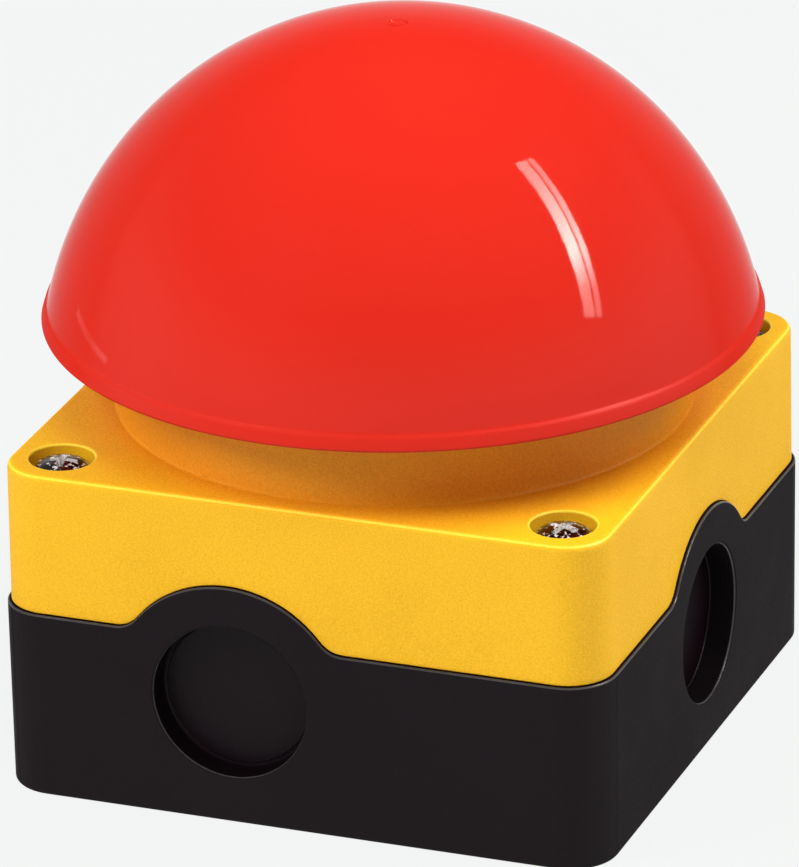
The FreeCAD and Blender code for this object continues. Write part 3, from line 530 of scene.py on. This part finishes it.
# The collar leans in a little, with a crease at its foot and a rounded rim, and carries the guide tube
collar_top = cover_top + collar_height
crease_radius = collar_radius + collar_crease
collar_outline = [(0, cover_top - 2), (collar_foot, cover_top - 2), (collar_foot, cover_top - 0.01)]
collar_outline += arc(crease_radius, cover_top + collar_crease, collar_crease, 270, 190, 5)
lean = math.degrees(math.atan2(collar_slope, collar_height))
edge_centre = collar_radius - collar_slope - collar_edge + 0.3
collar_outline += arc(edge_centre, collar_top - collar_edge, collar_edge, lean, 90, 6)
guide_top = collar_top + guide_rise
collar_outline += [(guide_outer, collar_top), (guide_outer, guide_top), (0, guide_top)]
collar = turned("collar", collar_outline, 192)
carve(upper_cover, [collar], "UNION")
hollow_top = collar_top - cover_roof
hollow_low = (collar_radius - cover_wall, cover_top - 5)
hollow_high = (collar_radius - cover_wall - collar_slope, hollow_top)
hollow_outline = [(0, cover_top - 5), hollow_low, hollow_high, (0, hollow_top)]
hollow = turned("collar_hollow", hollow_outline, 96)
tube_low, tube_high = cover_top - 8, hollow_top + 1
guide = [(0, tube_low), (guide_outer, tube_low), (guide_outer, tube_high), (0, tube_high)]
carve(hollow, [turned("guide_tube", guide, 96)])
cutters = [hollow, turned("guide_bore", [(0, 0), (guide_inner, 0), (guide_inner, 90), (0, 90)], 96)]

# A post under each corner takes the counterbore and the hole of its screw
corners = [(x, y) for x in (-screw_offset, screw_offset) for y in (-screw_offset, screw_offset)]
bore_mouth = counterbore + bore_edge
bore_floor = cover_top - counterbore_depth
bore_outline = [(0, cover_top + 2), (bore_mouth + 1, cover_top + 2)]
bore_outline += [(bore_mouth + 0.3, cover_top + 0.02)]
# The rounded mouth of each counterbore takes the painted highlight
bore_edge_levels = {len(bore_outline) + step: 1 for step in range(4)}
bore_outline += arc(bore_mouth, cover_top - bore_edge, bore_edge, 90, 180, 4)
bore_outline += [(counterbore, bore_floor), (screw_hole, bore_floor), (screw_hole, 0), (0, 0)]
post_low, post_high = seam_height + 0.05, cover_top - 2
post_outline = [(0, post_low), (post_radius, post_low), (post_radius, post_high), (0, post_high)]
posts = []
for x, y in corners:
    shift = Matrix.Translation(Vector((x, y, 0)) * mm)
    post = turned("post", post_outline, 48)
    post.data.transform(shift)
    posts.append(post)
    bore = turned("counterbore", bore_outline, 72, bore_edge_levels)
    dress(bore, yellow_plastic, yellow_edge_highlight)
    bore.data.transform(shift)
    cutters.append(bore)
carve(upper_cover, posts, "UNION")
carve(upper_cover, cutters)
smooth_faces(upper_cover)
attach(upper_cover, "base")
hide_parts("upper_cover")

# Dome
# The red button, a deep polished cap in one moulding, with a proud band at its rim and the small mark of
# the mould's gate at its crown. The webs and the boss inside the real cap are left out.
dome_radius = 48.7
dome_rise = 50.7
dome_top = 98.4
dome_centre = dome_top - dome_rise
dome_wall = 3.0
rim_z = 57.5
rim_band = 2.2
rim_lip = 0.3
rim_edge = 0.55
rim_inner_edge = 0.4
gate_radius = 1.4
gate_lip = 0.17


def dome_at(z, wall=0.0):
    """Radius of the spheroid at a height."""
    return (dome_radius - wall) * math.sqrt(1 - ((z - dome_centre) / (dome_rise - wall)) ** 2)


def dome_meridian(low, high, wall, steps):
    """(radius, z) points of the spheroid between two levels."""
    first = math.asin((low - dome_centre) / (dome_rise - wall))
    last = math.asin(min(1.0, (high - dome_centre) / (dome_rise - wall)))
    points = []
    for step in range(steps + 1):
        angle = first + (last - first) * step / steps
        radius = (dome_radius - wall) * math.cos(angle)
        points.append((radius, dome_centre + (dome_rise - wall) * math.sin(angle)))
    return points


# Its section runs from the crown down the inside, round the rim and the band, and up the outside to the
# gate's mark, which is a shallow ring round a small raised dot
band_top = rim_z + rim_band
outline = [(0, dome_top - dome_wall)]
outline += list(reversed(dome_meridian(rim_z + 0.6, dome_top - dome_wall, dome_wall, 30)))[1:]
outline += arc(dome_at(rim_z, dome_wall) + 0.5, rim_z + rim_inner_edge, rim_inner_edge, 180, 270, 4)
foot = dome_at(rim_z) + rim_lip
outline += arc(foot - rim_edge, rim_z + rim_edge, rim_edge, -90, 0, 6)
for share, rise in ((1.0, -0.5), (0.93, -0.3), (0.75, -0.13), (0.5, 0.0), (0.25, 0.13), (0.07, 0.3)):
    outline.append((dome_at(band_top + rise) + rim_lip * share, band_top + rise))
gate_z = dome_centre + dome_rise * math.sqrt(1 - (gate_radius / dome_radius) ** 2)
outline += dome_meridian(band_top + 0.5, gate_z, 0.0, 64)
outline += [(gate_radius - 0.15, gate_z - gate_lip), (gate_radius - 0.4, gate_z - gate_lip)]
outline += [(gate_radius - 0.55, gate_z + 0.02)]
outline += [(gate_radius * 0.3, gate_z + 0.05), (0, gate_z + 0.03)]
dome = turned("dome_cap", outline, 256)
smooth_faces(dome, 40)

red_plastic, tree, shader = add_material("red_plastic")
place = add_node(tree, "TexCoord").outputs["Object"]
ripple = add_node(tree, "TexNoise", [("Vector", place), ("Scale", 45.0), ("Detail", 2.0)])
fine = add_node(tree, "TexNoise", [("Vector", place), ("Scale", 1800.0), ("Detail", 2.0)])
low_bump = add_node(
    tree, "Bump",
    [("Strength", 0.02), ("Distance", 0.001), ("Height", ripple.outputs["Fac"])],
)
fine_bump = add_node(
    tree, "Bump",
    [("Strength", 0.02), ("Distance", 0.0001), ("Height", fine.outputs["Fac"])],
)
tree.links.new(low_bump.outputs["Normal"], fine_bump.inputs["Normal"])
tree.links.new(fine_bump.outputs["Normal"], shader.inputs["Normal"])
hue = add_node(tree, "ValToRGB", [("Fac", ripple.outputs["Fac"])])
hue.color_ramp.elements[0].color = (0.570, 0.0178, 0.0088, 1)
hue.color_ramp.elements[1].color = (0.593, 0.0197, 0.0098, 1)
tree.links.new(hue.outputs["Color"], shader.inputs["Base Color"])
# Polished above, duller on the band where the mould parts
height = add_node(tree, "SeparateXYZ", [(0, place)]).outputs["Z"]
band_mask = add_node(
    tree, "MapRange",
    [("Value", height), ("From Min", band_top * mm), ("From Max", (band_top + 0.5) * mm)],
).outputs["Result"]
gloss_mask = add_node(
    tree, "Math", [(0, fine.outputs["Fac"]), (1, 0.15), (2, band_mask)], operation="MULTIPLY_ADD",
).outputs[0]
vary_gloss(tree, shader, gloss_mask, 0.0, 0.5, 0.04)
fade_sheen(tree, shader, (0.3, 0.15), (0.5, 0.012))
dress(dome, red_plastic)
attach(dome, "dome")
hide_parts("dome")

# Cover screws
# Four plated steel pan-head screws with a cross recess, each sunk in its counterbore on a soft washer.
head_radius = 3.8
head_height = 2.6
head_sink = 0.3
head_seat = cover_top - head_sink - head_height
shank_radius = 2.0
shank_low = 16.2
socket_span = 4.6
socket_width = 0.95
socket_depth = 1.7
socket_turns = (12, 30, -18, 52)
thread_pitch = 0.7
thread_depth = 0.32
thread_start = 0.6
thread_runout = 1.5


def screw_blank(name, x, y):
    """Turned screw with a domed head and a ridged shank."""
    top = head_seat + head_height
    outline = [(0, shank_low), (shank_radius * 0.7, shank_low)]
    turns = int((head_seat - thread_runout - shank_low - thread_start) / thread_pitch)
    for turn in range(turns):
        z = shank_low + thread_start + turn * thread_pitch
        outline += [(shank_radius - thread_depth, z), (shank_radius, z + thread_pitch * 0.5)]
    outline += [(shank_radius - 0.1, head_seat), (head_radius - 0.15, head_seat)]
    outline += [(head_radius, head_seat + 0.15)]
    outline += arc(head_radius - 1.5, top - 1.85, 1.5, 0, 68, 8)
    outline += [(2.3, top - 0.29), (1.6, top - 0.13), (0.8, top - 0.03), (0, top)]
    blank = turned(name, outline, 64)
    blank.data.transform(Matrix.Translation(Vector((x, y, 0)) * mm))
    return blank


def socket_cutter(x, y, turn):
    """Cross with two tapering arms, for a screw turned by some angle."""
    top = head_seat + head_height + 0.3
    arms = []
    for angle in (0, 90):
        tip, half, side = socket_span * 0.26, socket_span / 2, socket_width / 2
        low = [(-tip, -0.3), (tip, -0.3), (tip, 0.3), (-tip, 0.3)]
        high = [(-half, -side), (half, -side), (half, side), (-half, side)]
        rings = [[(u, v, top - socket_depth - 0.3) for u, v in low], [(u, v, top) for u, v in high]]
        arm = loft("arm", rings)
        arm.data.transform(Matrix.Rotation(math.radians(turn + angle), 4, "Z"))
        arms.append(arm)
    carve(arms[0], arms[1:], "UNION")
    arms[0].data.transform(Matrix.Translation(Vector((x, y, 0)) * mm))
    return arms[0]


# Plating in a dark tone, with bright flecks that are painted glints
turned_steel, tree, shader = add_material("plated_screw_steel")
place = add_node(tree, "TexCoord").outputs["Object"]
scuffs_and_glints = add_node(tree, "TexNoise", [("Vector", place), ("Scale", 1600.0), ("Detail", 4.0)])
glint_mask = add_node(
    tree, "MapRange", [("Value", scuffs_and_glints.outputs["Fac"]), ("From Min", 0.54), ("From Max", 0.63)],
)
tint = add_node(tree, "ValToRGB", [("Fac", glint_mask.outputs["Result"])])
tint.color_ramp.elements[0].color = (0.16, 0.13, 0.12, 1)
tint.color_ramp.elements[1].color = (0.90, 0.87, 0.83, 1)
tree.links.new(tint.outputs["Color"], shader.inputs["Base Color"])
plated = add_node(
    tree, "MapRange", [("Value", glint_mask.outputs["Result"]), ("To Min", 1.0), ("To Max", 0.35)],
)
tree.links.new(plated.outputs["Result"], shader.inputs["Metallic"])
vary_gloss(tree, shader, scuffs_and_glints.outputs["Fac"], 0.0, 0.16, 0.32)
scuff_bump = add_node(
    tree, "Bump",
    [("Strength", 0.4), ("Distance", 0.0001), ("Height", scuffs_and_glints.outputs["Fac"])],
)
tree.links.new(scuff_bump.outputs["Normal"], shader.inputs["Normal"])

# The walls of the recess are painted much brighter than the head, in patches: a painted gleam
recess_painted_gleam, tree, shader = add_material("recess_painted_gleam")
place = add_node(tree, "TexCoord").outputs["Object"]
gleam_patches = add_node(tree, "TexNoise", [("Vector", place), ("Scale", 1500.0), ("Detail", 2.0)])
tint = add_node(tree, "ValToRGB", [("Fac", gleam_patches.outputs["Fac"])])
tint.color_ramp.elements[0].position = 0.4
tint.color_ramp.elements[0].color = (0.30, 0.27, 0.25, 1)
tint.color_ramp.elements[1].position = 0.55
tint.color_ramp.elements[1].color = (0.92, 0.90, 0.87, 1)
tree.links.new(tint.outputs["Color"], shader.inputs["Base Color"])
vary_gloss(tree, shader, gleam_patches.outputs["Fac"], 0.0, 0.35, 0.22)
shader.inputs["Metallic"].default_value = 0.4

for number, (x, y) in enumerate(corners):
    screw = screw_blank("cover_screw_%d" % (number + 1), x, y)
    dress(screw, turned_steel)
    recess = socket_cutter(x, y, socket_turns[number])
    dress(recess, recess_painted_gleam)
    carve(screw, [recess])
    smooth_faces(screw, 35)
    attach(screw, "base")
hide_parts("cover_screws")

# Inner pieces
# What the housing and the dome hold: stem and bar, guide bush, inserts, seals, carrier and the two contact
# blocks, in metal, rubber and moulded plastic. Their solids show as they are, each in its own material.


def plain_finish(name, colour, roughness, metallic=0.0, scale=1200.0, depth=0.2):
    """Mottled, finely textured finish of an inner piece."""
    material, tree, shader = add_material(name)
    grain = add_effect(tree, moulded_grain, Pits_Per_Metre=scale, Depth=depth, Mottle=0.15)
    tree.links.new(toned(tree, colour, grain.outputs["Tone"]), shader.inputs["Base Color"])
    tree.links.new(grain.outputs["Normal"], shader.inputs["Normal"])
    vary_gloss(tree, shader, grain.outputs["Tone"], 0.85, roughness, max(0.05, roughness - 0.06))
    shader.inputs["Metallic"].default_value = metallic
    return material


finishes = {
    "screw_steel": turned_steel,
    "spring_steel": plain_finish("spring_wire", (0.55, 0.55, 0.56), 0.28, 1.0),
    "carrier_steel": plain_finish("zinc_plate", (0.60, 0.61, 0.60), 0.38, 1.0),
    "insert_brass": plain_finish("turned_brass", (0.70, 0.50, 0.20), 0.3, 1.0),
    "contact_metal": plain_finish("contact_copper", (0.72, 0.42, 0.25), 0.3, 1.0),
    "seal_rubber": plain_finish("black_rubber", (0.02, 0.02, 0.02), 0.7),
    "stem_plastic": plain_finish("white_acetal", (0.72, 0.71, 0.66), 0.35),
    "bush_plastic": plain_finish("grey_acetal", (0.10, 0.10, 0.11), 0.4),
    "block_open": plain_finish("green_block", (0.03, 0.25, 0.09), 0.45),
    "block_closed": plain_finish("red_block", (0.50, 0.03, 0.02), 0.45),
}
replaced = {"lower_housing", "upper_cover", "dome", "cover_screws"}
replaced |= {"return_spring", "contact_spring_open", "contact_spring_closed"}
for entry in frame["record"]["subparts"]:
    if entry["node"] not in replaced:
        dress(frame["nodes"][entry["node"]], finishes[entry["material_slot"]])

# Springs
# Three coils of drawn steel wire that stand on the base: the large one lifts the dome and a small one
# lifts each contact plunger. In use they shorten along their axes as the dome goes down; here each keeps
# the length of its solid.
coil_steps = 40
wire_sides = 12


def coil_spring(node, wire_radius, turns):
    """Coil that fills the box of a spring's solid."""
    low, high = [Vector(corner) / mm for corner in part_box(node)]
    middle = (low + high) / 2
    coil_radius = (high.x - low.x) / 2 - wire_radius
    climb = high.z - low.z - 2 * wire_radius
    last_side = 360 - 360 / wire_sides
    rings = []
    for step in range(turns * coil_steps + 1):
        angle = 2 * math.pi * step / coil_steps
        level = low.z + wire_radius + climb * step / (turns * coil_steps)
        ring = []
        for side, rise in arc(coil_radius, level, wire_radius, 0, last_side, wire_sides - 1):
            ring.append((middle.x + side * math.cos(angle), middle.y + side * math.sin(angle), rise))
        rings.append(ring)
    coil = loft(node + "_coil", rings)
    smooth_faces(coil, 60)
    dress(coil, finishes["spring_steel"])
    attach(coil, "base")
    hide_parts(node)
    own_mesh(coil)


coil_spring("return_spring", wire_radius=1.1, turns=4)
coil_spring("contact_spring_open", wire_radius=0.3, turns=5)
coil_spring("contact_spring_closed", wire_radius=0.3, turns=5)

# Floor
# A wide pale sheet that runs out past the view, as in a studio. Seen directly or in a reflection it has
# the tone of the background, under a soft part of the object's own shadow.
background = (0.905, 0.921, 0.913)
background_share = 0.95
reach = 6000
floor_corners = [(-reach, -reach, 0), (reach, -reach, 0), (reach, reach, 0), (-reach, reach, 0)]
floor = mesh_piece("floor", floor_corners, [(0, 1, 2, 3)])
pale_sheet = bpy.data.materials.new("pale_sheet")
pale_sheet.use_nodes = True
tree = pale_sheet.node_tree
tree.nodes.clear()
sheet_out = add_node(tree, "OutputMaterial")
sheet = add_node(tree, "BsdfDiffuse", [("Color", (0.60, 0.607, 0.607, 1))])
glow = add_node(tree, "Emission", [("Color", (*background, 1)), ("Strength", 1.0)])
path = add_node(tree, "LightPath")
camera_ray, glossy_ray = path.outputs["Is Camera Ray"], path.outputs["Is Glossy Ray"]
clear_ray = path.outputs["Is Transmission Ray"]
seen = add_node(tree, "Math", [(0, camera_ray), (1, glossy_ray)], operation="ADD")
seen = add_node(tree, "Math", [(0, seen.outputs[0]), (1, clear_ray)], operation="ADD", use_clamp=True)
share = add_node(tree, "Math", [(0, seen.outputs[0]), (1, background_share)], operation="MULTIPLY")
mix = add_node(tree, "MixShader", [(0, share.outputs[0]), (1, sheet.outputs[0]), (2, glow.outputs[0])])
tree.links.new(mix.outputs[0], sheet_out.inputs["Surface"])
dress(floor, pale_sheet)

# Studio light
# A dim even room, a key at the left front, a strong light behind the right side and three weaker ones,
# all soft and with no reflection of their own, and narrow glowing strips that only show in the dome.
world = bpy.data.worlds.new("studio")
bpy.context.scene.world = world
world.use_nodes = True
tree = world.node_tree
tree.nodes.clear()
world_out = add_node(tree, "OutputWorld")
rise = add_node(tree, "SeparateXYZ", [(0, add_node(tree, "TexCoord").outputs["Generated"])])
ambient = add_node(tree, "ValToRGB", [("Fac", rise.outputs["Z"])])
ambient.color_ramp.elements[0].position = 0.1
ambient.color_ramp.elements[0].color = (0.075, 0.075, 0.078, 1)
ambient.color_ramp.elements[1].position = 0.8
ambient.color_ramp.elements[1].color = (0.30, 0.305, 0.315, 1)
mirrored_room = add_node(tree, "ValToRGB", [("Fac", rise.outputs["Z"])])
mirrored_room.color_ramp.elements[0].position = 0.2
mirrored_room.color_ramp.elements[0].color = (*background, 1)
mirrored_room.color_ramp.elements[1].position = 0.55
mirrored_room.color_ramp.elements[1].color = (0.13, 0.13, 0.135, 1)
path = add_node(tree, "LightPath")
camera_ray, glossy_ray = path.outputs["Is Camera Ray"], path.outputs["Is Glossy Ray"]
glossy = add_node(tree, "Math", [(0, glossy_ray), (1, path.outputs["Is Transmission Ray"])])
unseen = add_node(tree, "Background", [("Color", ambient.outputs["Color"]), ("Strength", 1.0)])
backdrop = add_node(tree, "Background", [("Color", (*background, 1)), ("Strength", 1.0)])
mirrored = add_node(tree, "Background", [("Color", mirrored_room.outputs["Color"]), ("Strength", 1.0)])
mix = add_node(tree, "MixShader", [(0, glossy.outputs[0]), (1, unseen.outputs[0])])
tree.links.new(mirrored.outputs[0], mix.inputs[2])
mix = add_node(tree, "MixShader", [(0, camera_ray), (1, mix.outputs[0]), (2, backdrop.outputs[0])])
tree.links.new(mix.outputs[0], world_out.inputs["Surface"])

lamp_aim = Vector((0, 0, 0.07))
panel_head = Vector((0.420, 0.272, 0.842))
panel_foot = Vector((0.874, -0.012, 0.398))
panel_width = 0.104
along = (panel_foot - panel_head).normalized()
panel_middle = (panel_head + panel_foot) / 2
towards = (lamp_aim - panel_middle).normalized()
across = along.cross(towards).normalized() * panel_width
panel_tones = ((0.0, 0.16), (0.2, 0.26), (0.41, 1.0), (0.62, 0.6), (0.8, 0.36), (1.0, 0.26))


def light_strip(name, corners, strength, tones):
    """Glowing sheet that only reflections see, with a tone for each share of its height."""
    strip = mesh_piece(name, [corner / mm for corner in corners], [(0, 1, 2, 3)])
    strip.visible_camera = False
    strip.visible_diffuse = False
    cloth = bpy.data.materials.new(name + "_cloth")
    cloth.use_nodes = True
    tree = cloth.node_tree
    tree.nodes.clear()
    spread = add_node(tree, "TexCoord").outputs["Generated"]
    height = add_node(tree, "SeparateXYZ", [(0, spread)])
    glow_map = add_node(tree, "ValToRGB", [("Fac", height.outputs["Z"])])
    stops = glow_map.color_ramp.elements
    while len(stops) < len(tones):
        stops.new(0.5)
    for stop, (position, tone) in zip(stops, tones):
        stop.position = position
        stop.color = (tone, tone * 0.96, tone * 0.88, 1)
    lit = add_node(tree, "Emission", [("Color", glow_map.outputs["Color"]), ("Strength", strength)])
    cloth_out = add_node(tree, "OutputMaterial")
    tree.links.new(lit.outputs[0], cloth_out.inputs["Surface"])
    dress(strip, cloth)


for side, near, far, strength in (("left", -0.5, 0.1, 66.0), ("right", 0.19, 0.5, 50.0)):
    ends = [(panel_foot, near), (panel_foot, far), (panel_head, far), (panel_head, near)]
    light_strip("panel_" + side, [end + across * share for end, share in ends], strength, panel_tones)
low_ends = [(-0.503, 0.135, 0.006), (-0.525, -0.069, 0.020)]
low_ends += [(-0.525, -0.069, 0.032), (-0.503, 0.135, 0.017)]
light_strip("low_strip", [Vector(end) for end in low_ends], 4.0, ((0.0, 1.0), (1.0, 1.0)))


lamp_distance = 1.1
lamp_size = 0.5


def soft_fill(name, azimuth, elevation, power):
    """Square lamp aimed at the dome, from an azimuth that turns from the front towards the right."""
    light = bpy.data.lights.new(name, "AREA")
    light.shape = "SQUARE"
    light.size = lamp_size
    light.energy = power
    lamp = bpy.data.objects.new(name, light)
    bpy.context.scene.collection.objects.link(lamp)
    turn, lift = math.radians(azimuth), math.radians(elevation)
    level = math.cos(lift)
    away = Vector((math.sin(turn) * level, -math.cos(turn) * level, math.sin(lift)))
    lamp.location = lamp_aim + away * lamp_distance
    lamp.rotation_euler = away.to_track_quat("Z", "Y").to_euler()
    lamp.visible_glossy = False


soft_fill("key_left", -35, 43, 8.9)
soft_fill("low_left", -70, 12, 1.7)
soft_fill("high_front", 30, 55, 4.9)
soft_fill("back_right", 125, 45, 9.7)
soft_fill("side_right", 90, 45, 2.3)

# Camera
# Stands where the photograph was taken from: to the right of the front and above, a little over a metre
# away, with a long lens.
azimuth, elevation, roll = 21.06, 23.20, -1.14
distance = 1.252
focus_pixels = 9368.0
image_height = 867
turn, lift, tilt = math.radians(azimuth), math.radians(elevation), math.radians(roll)
back = Vector((math.sin(turn) * math.cos(lift), -math.cos(turn) * math.cos(lift), math.sin(lift)))
right = Vector((math.cos(turn), math.sin(turn), 0))
up = back.cross(right)
right_tilted = right * math.cos(tilt) + up * math.sin(tilt)
up_tilted = up * math.cos(tilt) - right * math.sin(tilt)
target = right * -0.00082 + Vector((0, 0, 0.03978))
lens = bpy.data.cameras.new("photo_camera")
lens.sensor_width = 36.0
lens.lens = focus_pixels * lens.sensor_width / image_height
lens.clip_start = 0.01
camera = bpy.data.objects.new("photo_camera", lens)
bpy.context.scene.collection.objects.link(camera)
axes = Matrix((right_tilted, up_tilted, back)).transposed()
camera.matrix_world = Matrix.Translation(target + back * distance) @ axes.to_4x4()
bpy.context.scene.camera = camera
bpy.context.scene.view_settings.view_transform = "Standard"
